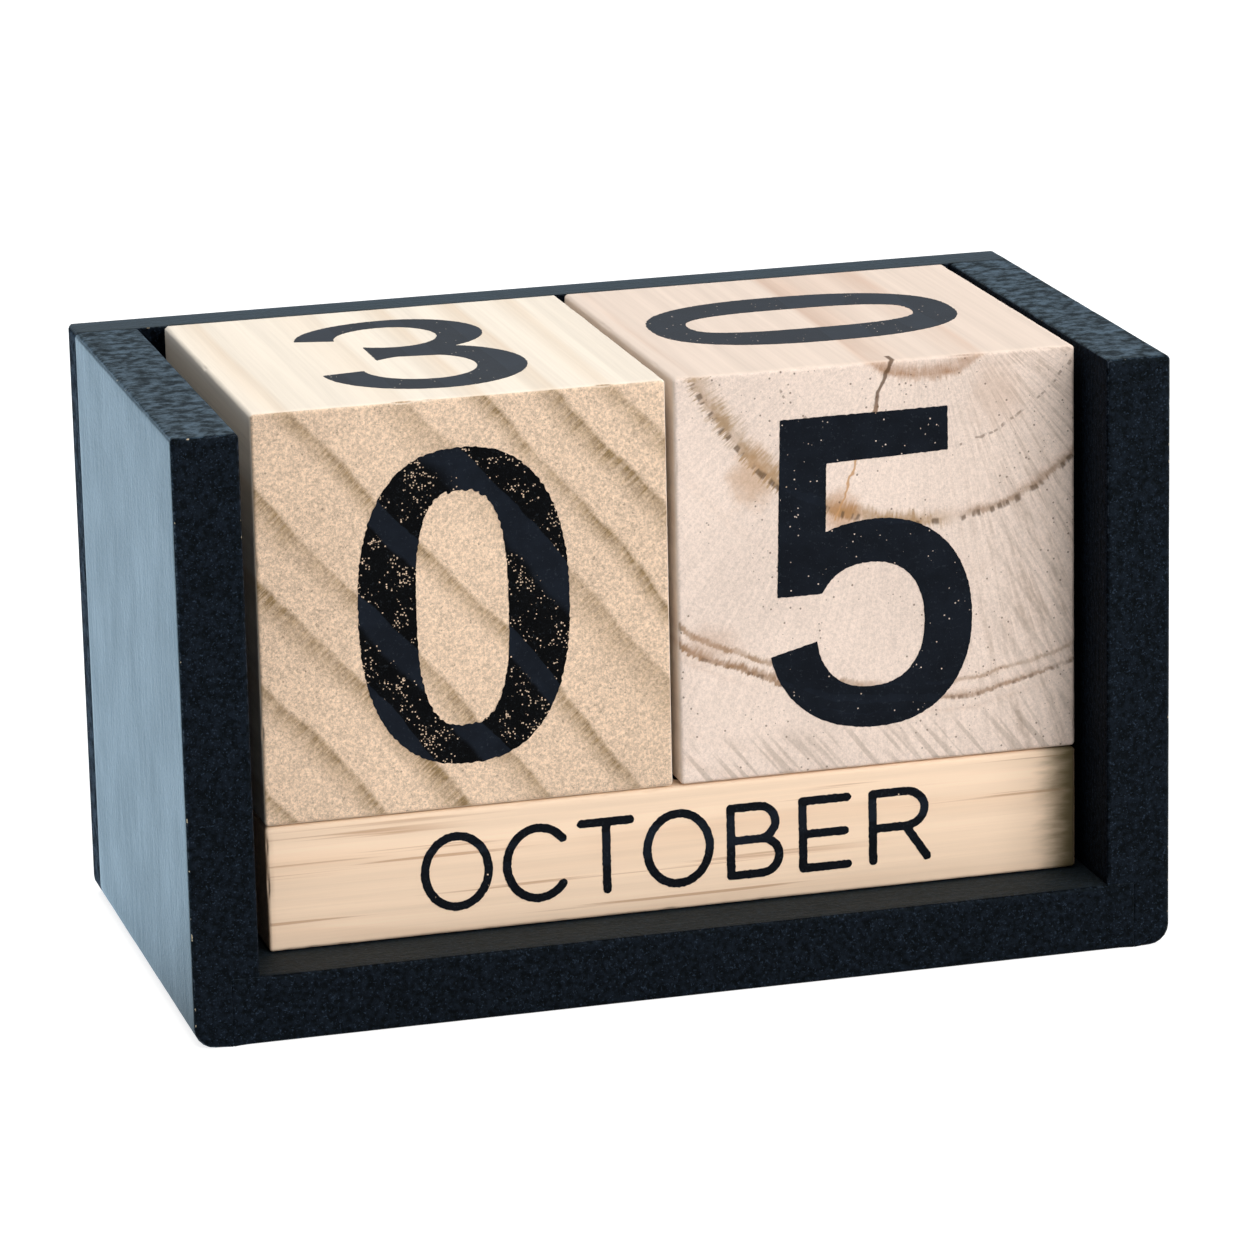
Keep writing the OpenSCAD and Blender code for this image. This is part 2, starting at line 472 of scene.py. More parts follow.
def stain(centre, reach, tint, strength, wobble=1.0):
    """A soft brown patch round centre, given as (x, z), on the end grain."""

    def mark(n, colour, x, y, z, radius, angle, end, grain):
        away = n.joined(n.math("SUBTRACT", x, centre[0]), 0.0, n.math("SUBTRACT", z, centre[1]))
        away = n.scaled(away, 1 / reach[0], 1.0, 1 / reach[1])
        distance = n.add("VectorMath", (away,), 1, operation="LENGTH")
        rough = n.noise(n.scaled(grain, 0.6, 0.1, 0.6), detail=3.0, rough=0.65)
        distance = n.plus(distance, n.times(n.math("SUBTRACT", rough, 0.5), wobble))
        share = n.times(n.times(n.fit(distance, 1.0, 0.2), strength), end)
        return n.blend(share, colour, tint)

    return mark


def resin_dots(spacing, size, share_kept, strength):
    """Small dark dots in the end grain, where resin canals are cut across."""

    def mark(n, colour, x, y, z, radius, angle, end, grain):
        flat = n.scaled(grain, 1.0, 0.0, 1.0)
        node = n.tree.nodes.new("ShaderNodeTexVoronoi")
        n.put(node.inputs["Vector"], flat)
        n.put(node.inputs["Scale"], 1 / spacing)
        pick = n.apart(node.outputs["Color"])[0]
        dot = n.fit(node.outputs["Distance"], size, size * 0.5)
        zone = n.fit(n.noise(n.scaled(grain, 0.1, 0.0, 0.1), detail=2.0), 0.4, 0.6)
        kept = n.math("LESS_THAN", pick, n.times(zone, share_kept))
        share = n.times(n.times(dot, kept), n.times(end, strength))
        return n.blend(share, colour, srgb(96, 76, 60))

    return mark


def dotted_ring(ring_radius, thickness, gap, strength, tint):
    """A ring broken into short dark dashes across the end grain."""

    def mark(n, colour, x, y, z, radius, angle, end, grain):
        off = n.math("ABSOLUTE", n.math("SUBTRACT", radius, ring_radius))
        line = n.fit(off, thickness, thickness * 0.35)
        arc = n.times(angle, ring_radius / gap)
        dash = n.fit(n.noise(n.joined(arc, n.times(radius, 0.2), 0.0), detail=1.0), 0.5, 0.62)
        share = n.times(n.times(line, dash), n.times(end, strength))
        return n.blend(share, colour, tint)

    return mark


def crack(start, end_point, width, front_y):
    """A radial crack in the front end grain that thins out from start to end_point, both (x, z)."""

    def mark(n, colour, x, y, z, radius, angle, end, grain):
        slope = (end_point[0] - start[0]) / (end_point[1] - start[1])
        down = n.math("SUBTRACT", z, start[1])
        wander = n.times(n.math("SUBTRACT", n.noise(n.scaled(grain, 0.5, 0.0, 0.5)), 0.5), 1.6)
        line = n.plus(n.plus(start[0], n.times(down, slope)), wander)
        off = n.math("ABSOLUTE", n.math("SUBTRACT", x, line))
        share = n.math("DIVIDE", down, end_point[1] - start[1])
        reach = n.fit(share, 0.0, 1.0, width, width * 0.45)
        inside = n.times(n.fit(n.math("DIVIDE", off, reach), 1.0, 0.4), n.math("LESS_THAN", share, 1.0))
        inside = n.times(inside, n.math("LESS_THAN", y, front_y + 2.5))
        tint = n.blend(n.fit(share, 0.2, 0.55), srgb(92, 66, 44), srgb(198, 152, 106))
        return n.blend(n.times(inside, 0.85), colour, tint)

    return mark


def stained_ring(ring_radius, inner, outer, angles, tint, strength):
    """A brown ring that fades over inner and outer, between two angles in degrees, with a fibrous edge."""

    def mark(n, colour, x, y, z, radius, angle, end, grain):
        comb = n.noise(n.joined(n.times(angle, ring_radius * 3.0), n.times(radius, 0.35), 0.0), detail=2.0)
        frayed = n.fit(comb, 0.3, 0.7, -0.25 * inner, 0.25 * inner)
        off = n.plus(n.math("SUBTRACT", radius, ring_radius), frayed)
        band = n.times(n.fit(off, -inner, -0.2 * inner), n.fit(off, outer, 0.3 * outer))
        start, stop = math.radians(angles[0]), math.radians(angles[1])
        soft = math.radians(6)
        window = n.times(n.fit(angle, start, start + soft), n.fit(angle, stop, stop - soft))
        patch = n.fit(n.noise(n.scaled(grain, 0.35, 0.0, 0.35), detail=3.0, rough=0.6), 0.35, 0.6, 0.45, 1.0)
        share = n.times(n.times(band, window), n.times(patch, n.times(end, strength)))
        return n.blend(share, colour, tint)

    return mark


def radial_streaks(count, clear_x, full_x, tint, strength):
    """Soft grey streaks along the rays of the end grain, growing from clear_x to full_x."""

    def mark(n, colour, x, y, z, radius, angle, end, grain):
        rays = n.noise(n.joined(n.times(angle, count), n.times(radius, 0.08), 1.0), detail=3.0, rough=0.7)
        broken = n.fit(n.noise(n.scaled(grain, 0.7, 0.0, 0.7), detail=3.0, rough=0.7), 0.35, 0.6, 0.35, 1.0)
        share = n.times(n.times(n.fit(rays, 0.44, 0.66), broken), n.fit(x, clear_x, full_x))
        return n.blend(n.times(share, n.times(end, strength)), colour, tint)

    return mark


def saw_marks(low_x, high_x, low_z, high_z, slope, strength):
    """Slanting saw scratches over one part of the end grain."""

    def mark(n, colour, x, y, z, radius, angle, end, grain):
        slanted = n.plus(n.times(x, math.sin(slope)), n.times(z, math.cos(slope)))
        along = n.plus(n.times(x, math.cos(slope)), n.times(z, -math.sin(slope)))
        lines = n.noise(n.joined(n.times(slanted, 1.25), n.times(along, 0.06), 3.0), detail=1.0)
        line = n.fit(lines, 0.5, 0.62)
        inside = n.times(n.fit(x, low_x - 3, low_x + 3), n.fit(x, high_x + 3, high_x - 3))
        inside = n.times(inside, n.times(n.fit(z, low_z - 2, low_z), n.fit(z, high_z + 2, high_z - 2)))
        share = n.times(n.times(line, inside), n.times(end, strength))
        return n.blend(share, colour, srgb(158, 142, 128))

    return mark


def grime_and_shade_end(edge_x, reach, tint, strength):
    """A dark, rough end of a bar, fading over reach: partly a stain, partly painted shade from the right
    side board.
    """

    def mark(n, colour, x, y, z, radius, angle, end, grain):
        rough = n.times(n.math("SUBTRACT", n.noise(n.scaled(grain, 1.2, 0.25, 1.2), detail=3.0), 0.5), 3.0)
        share = n.fit(n.plus(x, rough), edge_x - reach, edge_x, 0.0, strength)
        share = n.times(share, n.fit(end, 0.0, 1.0, 1.0, 0.4))
        return n.blend(share, colour, tint)

    return mark


def thin_lines(scale, low, high, tint, strength):
    """Fine brown grain lines along the fibre of a long face."""

    def mark(n, colour, x, y, z, radius, angle, end, grain):
        lines = n.noise(n.scaled(grain, scale, scale * 0.012, scale), detail=3.0, rough=0.55)
        patch = n.fit(n.noise(n.scaled(grain, 0.16, 0.02, 0.16), detail=1.0), 0.46, 0.6)
        share = n.times(n.times(n.fit(lines, low, high), patch), strength)
        return n.blend(n.times(share, n.flipped(end)), colour, tint)

    return mark


LEFT_PITH = (CUBE_LOW[0] - 500, CUBE_LOW[2] - 420)
LEFT_MIDDLE = math.hypot(500 + CUBE_SIZE / 2, 420 + CUBE_SIZE / 2)
# Rings by their distance past the middle of the left cube's front, their strength and their onset
LEFT_RINGS = [
    (-31.7, 0.7, 2.6),
    (-23.5, 0.8, 2.8),
    (-15.6, 1.0, 3.2),
    (-8.3, 0.8, 3.6),
    (1.2, 0.9, 2.6),
    (11.8, 0.6, 5.0),
    (18.3, 0.9, 2.4),
    (25.2, 1.0, 3.2),
    (30.3, 0.8, 2.4),
]
LEFT_WOOD = {
    "fibre": "y",
    "pith": LEFT_PITH,
    "span": (LEFT_MIDDLE - 40, LEFT_MIDDLE + 40),
    "rings": [(LEFT_MIDDLE + d, strength, onset) for d, strength, onset in LEFT_RINGS],
    "sway": 3.0,
    "ripple": 0.6,
    "faint": 0.6,
    "ray_count": 1900.0,
    "cells": 0.22,
    "pits": 0.32,
    "grit": 0.15,
    "rays": 0.05,
    "late_end": 1.1,
    "late_long": 0.5,
    "end_early": srgb(228, 202, 176),
    "end_late": srgb(146, 122, 88),
    "long_early": srgb(241, 231, 216),
    "long_late": srgb(226, 200, 170),
    "marks": [resin_dots(1.4, 0.12, 0.2, 0.5)],
}

RIGHT_PITH = (RIGHT_LOW[0] + 31, RIGHT_LOW[2] + 61)
BROWN = srgb(168, 128, 96)


def on_right(x, z):
    """A point on the right cube's front, from its lower left corner."""
    return (RIGHT_LOW[0] + x, RIGHT_LOW[2] + z)


RIGHT_WOOD = {
    "fibre": "y",
    "pith": RIGHT_PITH,
    "span": (6, 78),
    "rings": [
        (13.2, 0.9, 2.4),
        (30.9, 0.6, 1.3),
        (38.2, 0.1, 1.5),
        (51.4, 0.4, 0.8),
        (53.2, 0.75, 0.9),
        (54.8, 0.25, 0.6),
        (62.4, 0.12, 1.2),
        (65.6, 0.2, 1.2),
    ],
    "sway": 2.0,
    "ripple": 1.0,
    "faint": 0.1,
    "ray_count": 95.0,
    "cells": 0.09,
    "pits": 0.1,
    "grit": 0.05,
    "rays": 0.05,
    "late_end": 0.9,
    "late_long": 0.55,
    "end_early": srgb(235, 217, 204),
    "end_late": BROWN,
    "long_early": srgb(231, 214, 200),
    "long_late": srgb(206, 166, 138),
    "marks": [
        radial_streaks(46.0, RIGHT_LOW[0] + 28, RIGHT_LOW[0] + 46, srgb(172, 151, 134), 0.6),
        stained_ring(30.8, 2.8, 1.0, (-166, -120), srgb(160, 130, 90), 0.8),
        stained_ring(30.8, 1.6, 1.1, (-121, -82), srgb(166, 132, 90), 0.9),
        stained_ring(30.8, 0.7, 0.6, (-84, -48), srgb(160, 134, 112), 0.7),
        stained_ring(51.3, 0.7, 0.4, (-135, -95), srgb(150, 116, 80), 0.75),
        stained_ring(53.1, 1.1, 0.5, (-135, -95), srgb(146, 110, 74), 0.85),
        stained_ring(51.3, 0.5, 0.3, (-92, -60), srgb(170, 142, 118), 0.6),
        stained_ring(53.1, 0.5, 0.3, (-92, -60), srgb(150, 122, 98), 0.7),
        stained_ring(13.0, 1.6, 1.0, (-125, -50), srgb(164, 124, 92), 0.5),
        stain(on_right(9.5, 37), (4.0, 5.0), srgb(184, 140, 92), 0.5),
        stain(on_right(20.5, 32.0), (3.5, 3.5), srgb(180, 132, 86), 0.6),
        stain(on_right(40, 45), (4.5, 6.0), srgb(205, 180, 162), 0.45),
        stain(on_right(4, 17), (5.0, 3.5), BROWN, 0.3),
        resin_dots(0.85, 0.2, 0.5, 0.75),
        resin_dots(0.6, 0.17, 0.25, 0.6),
        dotted_ring(22.3, 0.22, 0.6, 0.6, srgb(120, 100, 84)),
        dotted_ring(31.1, 0.55, 0.8, 0.75, srgb(96, 76, 58)),
        dotted_ring(53.2, 0.35, 0.8, 0.6, srgb(110, 86, 66)),
        crack(on_right(26.9, 50), on_right(19.8, 31), 0.42, RIGHT_LOW[1]),
        saw_marks(RIGHT_LOW[0], RIGHT_HIGH[0], RIGHT_LOW[2] - 3, RIGHT_LOW[2] + 5, 0.9, 0.4),
        saw_marks(RIGHT_LOW[0] + 40, RIGHT_HIGH[0], RIGHT_LOW[2] + 4, RIGHT_HIGH[2] - 14, 1.0, 0.25),
    ],
}


def bar_wood(pith, seed_shift):
    """The wood of a month bar, with its fibre along X and its pith line at pith, given as (y, z)."""
    near = math.hypot(BAR_LOW[1] - pith[0], BAR_LOW[2] - pith[1])
    span = (near - 30, near + 30)
    return {
        "fibre": "x",
        "pith": pith,
        "span": span,
        "rings": [(span[0] + seed_shift + 7.0 * i, 0.5 + 0.1 * (i % 3), 2.2) for i in range(8)],
        "sway": 9.0,
        "ripple": 1.2,
        "faint": 0.0,
        "ray_count": 400.0,
        "cells": 0.08,
        "pits": 0.1,
        "grit": 0.05,
        "rays": 0.03,
        "late_end": 0.7,
        "late_long": 0.3,
        "end_early": srgb(222, 192, 162),
        "end_late": srgb(176, 138, 104),
        "long_early": srgb(253, 226, 198),
        "long_late": srgb(222, 176, 138),
        "marks": [
            thin_lines(1.1, 0.57, 0.64, srgb(176, 128, 88), 0.55),
            # The bar's right end: a stain with painted shade from the right side board.
            grime_and_shade_end(BAR_HIGH[0] - 0.5, 5.5, srgb(92, 83, 52), 0.95),
        ],
    }


def pine(name, wood):
    """Bare planed pine, with the wood group that its printing also uses."""
    group = wood_group(name + "_grain", wood)
    material, n, shader = new_material(name)
    wood_node = n.tree.nodes.new("ShaderNodeGroup")
    wood_node.node_tree = group
    n.put(shader.inputs["Base Color"], wood_node.outputs["Color"])
    gloss = n.fit(wood_node.outputs["Late"], 0.0, 1.0, 0.72, 0.56)
    n.put(shader.inputs["Roughness"], gloss)
    shader.inputs["Specular IOR Level"].default_value = 0.12
    n.put(shader.inputs["Normal"], n.bump(wood_node.outputs["Height"], 0.5, 0.12))
    return material, group


INK_SMOOTH = srgb(22, 28, 37)
INK_DARK = srgb(5, 6, 7)


def ink(name, group, wear, smooth_share):
    """Stamped ink over a block's wood: smooth on the late wood, thin and speckled on the open early wood."""
    material, n, shader = new_material(name)
    wood_node = n.tree.nodes.new("ShaderNodeGroup")
    wood_node.node_tree = group
    place = n.position()
    late = n.fit(wood_node.outputs["Late"], 0.06, 0.22)
    late = n.math("MAXIMUM", late, smooth_share)
    open_wood = n.flipped(late)
    cluster = n.fit(n.noise(place, 0.42, 3.0, 0.65), 0.44, 0.62)
    pick, inside = n.grains(place, 0.2)
    bared = n.math("LESS_THAN", pick, n.times(n.times(cluster, open_wood), 0.24 * wear))
    specks = n.times(bared, inside)
    grain = n.noise(place, 5.0, 2.0, 0.8)
    dark = n.blend(n.fit(grain, 0.4, 0.7), INK_DARK, srgb(14, 16, 19))
    colour = n.blend(late, dark, INK_SMOOTH)
    cloud = n.fit(n.noise(place, 0.35, 3.0), 0.3, 0.7, 0.82, 1.15)
    dust = n.fit(n.noise(place, 2.6, 3.0, 0.8), 0.58, 0.72, 0.0, 0.15)
    colour = n.blend(dust, n.shade(colour, cloud), srgb(96, 106, 116))
    worn = n.shade(wood_node.outputs["Color"], 1.0)
    n.put(shader.inputs["Base Color"], n.blend(specks, colour, worn))
    n.put(shader.inputs["Roughness"], n.fit(late, 0.0, 1.0, 0.8, 0.55))
    slant = n.add("LayerWeight", (0.5,), output=1)
    shader.inputs["Specular IOR Level"].default_value = 0.1
    n.put(shader.inputs["Specular IOR Level"], n.fit(slant, 0.3, 0.75, 0.05, 0.45))
    rough = n.times(grain, n.plus(n.times(open_wood, 0.9), 0.15))
    rough = n.plus(rough, n.times(wood_node.outputs["Height"], 0.3))
    n.put(shader.inputs["Normal"], n.bump(rough, 0.5, 0.1))
    return material


# ---------------------------------------------------------------- paint and steel


# What the end grain keeps of the gloss, and how pale its raised fibres are, by the board's fibre direction.
# The pale blue-grey of the fibres is partly a painted cool reflection.
END_SHINE = {"x": 0.04, "z": 0.9}
END_FUZZ_AND_REFLECTION = {"x": 0.25, "z": 0.8}
PAINT_TINT = (0.64, 0.94, 1.0, 1)  # the cool tint of the paint's gloss


def paint(name, long_axis, inner, inner_shine, seed):
    """Blue-black paint on pine: pebbled with a painted highlight on the bumps, fibrous on end grain with a
    painted cool reflection, less glossy inside, with rubbed edges that carry a painted highlight.
    """
    material, n, shader = new_material(name)
    moved = n.add("VectorMath", (n.position(), (seed * 31.0, seed * 17.0, seed * 11.0)), operation="ADD")
    normal = n.texture.outputs["Normal"]
    facing = n.apart(normal)["xyz".index(long_axis)]
    end = n.fit(n.math("ABSOLUTE", facing), 0.6, 0.85)
    inside = n.fit(n.add("VectorMath", (normal, inner), 1, operation="DOT_PRODUCT"), 0.6, 0.85)
    stretch = [2.2, 2.2, 2.2]
    stretch["xyz".index(long_axis)] = 0.09
    fibres = n.noise(n.scaled(moved, *stretch), detail=3.0, rough=0.6)
    pebble = n.noise(moved, 1.4, 3.0, 0.65)
    dust = n.noise(moved, 3.4, 2.0, 0.75)
    mottle = n.noise(n.scaled(moved, 0.5, 0.6, 0.6), detail=5.0, rough=0.72)
    patch = n.noise(moved, 0.12, 2.0)

    # Lighter and bluer on the tops of the orange-peel bumps: a painted highlight on the pebbled paint.
    base = n.blend(n.fit(pebble, 0.35, 0.68), srgb(6, 8, 12), srgb(19, 25, 34))
    base = n.blend(n.times(n.fit(dust, 0.58, 0.7), 0.5), base, srgb(56, 70, 88))
    # Pale blue-grey mottling on the end grain: raised fibres, with a painted cool reflection in their
    # colour.
    fuzz_and_reflection = n.times(n.times(n.fit(mottle, 0.4, 0.7), end), END_FUZZ_AND_REFLECTION[long_axis])
    base = n.blend(fuzz_and_reflection, base, srgb(64, 84, 102))
    edge = n.add("Attribute", attribute_name="edge", output="Fac")
    # Lighter blue-grey along the edges: partly rubbed paint, partly a painted highlight along the edge.
    rub = n.times(n.fit(edge, 0.35, 1.0), n.fit(pebble, 0.5, 0.66))
    base = n.blend(n.times(rub, 0.4), base, srgb(84, 94, 104))
    bare = n.times(n.fit(edge, 0.5, 0.9), n.fit(n.noise(moved, 0.85, 2.0, 0.7), 0.665, 0.7))
    base = n.blend(bare, base, srgb(206, 188, 158))
    n.put(shader.inputs["Base Color"], base)

    worn = n.plus(n.fit(fibres, 0.3, 0.7, 0.42, 0.5), n.fit(patch, 0.3, 0.7, 0.0, 0.04))
    fuzzy = n.fit(mottle, 0.35, 0.65, 0.34, -0.02 if long_axis == "z" else 0.2)
    n.put(shader.inputs["Roughness"], n.plus(n.plus(worn, n.times(end, fuzzy)), n.times(inside, 0.25)))
    slant = n.add("LayerWeight", (0.5,), output=1)
    shine = n.fit(slant, 0.3, 0.75, 0.05, 0.7)
    blotched = n.fit(mottle, 0.38, 0.64, 0.5 * END_SHINE[long_axis], 1.25 * END_SHINE[long_axis])
    shine = n.times(shine, n.add("Mix", (end, None, 1.0, blotched)))
    shader.inputs["Specular IOR Level"].default_value = 0.2
    shader.inputs["Specular Tint"].default_value = PAINT_TINT
    n.put(shader.inputs["Specular IOR Level"], n.times(shine, n.fit(inside, 0.0, 1.0, 1.0, inner_shine)))
    skin = n.plus(n.plus(pebble, n.times(fibres, 0.3)), n.times(n.times(mottle, end), 1.2))
    n.put(shader.inputs["Normal"], n.bump(skin, 0.6, 0.25))
    return material


def steel(name):
    """Drawn steel wire with fine lengthwise scratches and small dull spots."""
    material, n, shader = new_material(name)
    place = n.position()
    scratches = n.noise(n.scaled(place, 6.0, 0.4, 6.0), detail=3.0, rough=0.7)
    spots = n.fit(n.noise(place, 2.5, 3.0), 0.55, 0.7)
    base = n.blend(n.times(spots, 0.4), srgb(168, 168, 172), srgb(118, 112, 106))
    n.put(shader.inputs["Base Color"], base)
    n.put(shader.inputs["Roughness"], n.fit(scratches, 0.3, 0.7, 0.28, 0.45))
    shader.inputs["Metallic"].default_value = 1.0
    n.put(shader.inputs["Normal"], n.bump(scratches, 0.2, 0.02))
    return material


# ---------------------------------------------------------------- printed figures


def ellipse(x, y, centre, half, power=2.0):
    """Below zero inside a superellipse. half is (left, right, height) or (width, height)."""
    left, right = half[0], half[-2]
    width = np.where(x < centre[0], left, right)
    across = np.abs((x - centre[0]) / width) ** power
    up = np.abs((y - centre[1]) / half[-1]) ** power
    return ((across + up) ** (1 / power) - 1) * min(left, right, half[-1])


def polygon(x, y, corners):
    """Below zero inside a convex polygon whose corners run anticlockwise."""
    inside = np.full(np.broadcast(x, y).shape, -1e9)
    for (x0, y0), (x1, y1) in zip(corners, corners[1:] + corners[:1]):
        length = math.hypot(x1 - x0, y1 - y0)
        inside = np.maximum(inside, ((x - x0) * (y1 - y0) - (y - y0) * (x1 - x0)) / length)
    return inside


def rectangle(x, y, left, right, bottom, top):
    return polygon(x, y, [(left, bottom), (right, bottom), (right, top), (left, top)])


def cut(shape, *wastes):
    for waste in wastes:
        shape = np.maximum(shape, -waste)
    return shape


def union(*shapes):
    return np.minimum.reduce(shapes)


# Each figure gives a field over a cube's face, in millimetres from the face's lower left corner.


def figure_0(x, y):
    outer = ellipse(x, y, (24.9, 24.7), (12.8, 19.2), 2.4)
    return cut(outer, ellipse(x, y, (24.7, 24.5), (5.6, 14.25), 2.8))


def figure_1(x, y):
    stem = rectangle(x, y, 22.3, 29.0, 5.5, 43.8)
    flag = polygon(x, y, [(14.0, 31.6), (22.6, 35.2), (29.0, 43.8), (24.2, 43.8), (14.0, 37.0)])
    return union(stem, flag)


def figure_2(x, y):
    outer = ellipse(x, y, (24.6, 32.3), (12.2, 11.4), 2.1)
    ring = cut(outer, ellipse(x, y, (24.6, 31.9), (5.7, 6.6), 2.1))
    ring = cut(ring, polygon(x, y, [(5, 14), (26, 14), (26, 28), (20, 30.5), (5, 33.5)]))
    leg = polygon(x, y, [(12.3, 5.4), (21.0, 10.4), (35.6, 27.4), (30.0, 28.6), (26.6, 25.0), (12.3, 10.0)])
    foot = rectangle(x, y, 12.3, 37.0, 5.4, 10.8)
    return union(ring, leg, foot)


def figure_3(x, y):
    upper = cut(ellipse(x, y, (26.0, 34.2), (12.9, 10.2, 8.8)), ellipse(x, y, (24.6, 33.6), (6.8, 5.8, 5.6)))
    upper = cut(upper, polygon(x, y, [(5, 20), (20.3, 20), (20.3, 33.1), (5, 37.2)]))
    lower = ellipse(x, y, (25.2, 16.6), (12.8, 12.0, 11.4))
    lower = cut(lower, ellipse(x, y, (24.9, 16.7), (7.3, 6.3, 6.5)))
    lower = cut(lower, polygon(x, y, [(5, 15.1), (20.3, 17.2), (20.3, 30), (5, 30)]))
    arm = polygon(x, y, [(20.3, 23.4), (28.5, 22.2), (30.0, 27.6), (27.0, 28.2), (20.3, 27.5)])
    return union(upper, lower, arm)


def figure_4(x, y):
    stem = rectangle(x, y, 27.2, 33.8, 5.4, 43.8)
    bar = rectangle(x, y, 11.2, 38.2, 13.6, 19.0)
    corners = [(11.2, 16.0), (18.2, 17.5), (29.5, 35.0), (31.0, 43.8), (26.6, 43.8), (11.2, 19.6)]
    slope = polygon(x, y, corners)
    return union(stem, bar, slope)


def figure_5(x, y):
    bar = polygon(x, y, [(12.9, 37.9), (33.9, 38.5), (33.9, 43.9), (13.0, 43.8)])
    stem = polygon(x, y, [(12.4, 22.2), (16.9, 22.1), (18.5, 29.0), (18.7, 38.6), (13.0, 43.8)])
    bowl = ellipse(x, y, (24.8, 17.9), (13.6, 12.0, 12.9), 2.2)
    bowl = cut(bowl, ellipse(x, y, (24.0, 17.8), (6.8, 7.7), 2.3))
    opening = polygon(x, y, [(2, 12.4), (20.5, 17.1), (20.5, 22.1), (2, 22.1)])
    outside = polygon(x, y, [(2, 22.0), (12.4, 22.0), (12.5, 31), (2, 31)])
    return union(bar, stem, cut(bowl, opening, outside))


def figure_6(x, y):
    bowl = cut(ellipse(x, y, (25.0, 17.4), (12.4, 12.2), 2.1), ellipse(x, y, (25.0, 17.3), (6.0, 6.9), 2.1))
    back = cut(ellipse(x, y, (25.4, 24.6), (12.8, 19.2), 2.3), ellipse(x, y, (25.6, 24.4), (6.2, 14.1), 2.4))
    back = cut(back, polygon(x, y, [(25, 2), (45, 2), (45, 35.6), (31.2, 34.4), (25, 30)]))
    return union(bowl, back)


def figure_7(x, y):
    bar = rectangle(x, y, 12.4, 37.2, 38.2, 43.8)
    leg = polygon(x, y, [(17.6, 5.4), (24.6, 5.4), (37.2, 38.4), (37.2, 39.0), (30.2, 39.0)])
    return union(bar, leg)


def figure_8(x, y):
    upper = cut(ellipse(x, y, (24.8, 34.0), (10.8, 9.7), 2.1), ellipse(x, y, (24.8, 34.0), (4.9, 4.9), 2.1))
    lower = cut(ellipse(x, y, (24.8, 16.7), (12.5, 11.5), 2.1), ellipse(x, y, (24.8, 16.7), (6.1, 6.3), 2.1))
    return cut(union(upper, lower), ellipse(x, y, (24.8, 34.0), (4.9, 4.9), 2.1))


FIGURES = {
    "0": figure_0,
    "1": figure_1,
    "2": figure_2,
    "3": figure_3,
    "4": figure_4,
    "5": figure_5,
    "6": figure_6,
    "7": figure_7,
    "8": figure_8,
}

# ---------------------------------------------------------------- printed letters

LETTER_H = 8.45  # capital height between stroke middles
WAIST = 4.35
STROKE = 1.05
BASELINE = 3.52


def arc(centre, radii, start, end):
    """Points along an elliptical arc, in degrees."""
    steps = max(4, round(abs(end - start) / 9))
    turns = [math.radians(start + (end - start) * k / steps) for k in range(steps + 1)]
    return [(centre[0] + radii[0] * math.cos(t), centre[1] + radii[1] * math.sin(t)) for t in turns]


def bowl(top, bottom, straight, bulge):
    """The round of a B, D, P or R, from its stem and back to it."""
    middle, half = (top + bottom) / 2, (top - bottom) / 2
    return [(0, top), *arc((straight, middle), (bulge, half), 90, -90), (0, bottom)]


def arm(length, height):
    """A level stroke to the right of a stem."""
    return [(0, height), (length, height)]


STEM = [(0, 0), (0, LETTER_H)]
OVAL_MIDDLE, OVAL_HALF = (3.9, 4.18), (3.9, 4.38)
UPPER_S = arc((2.95, 6.33), (2.75, 2.15), 35, 270)
LOWER_S = arc((2.95, 2.05), (3.0, 2.13), 90, -145)
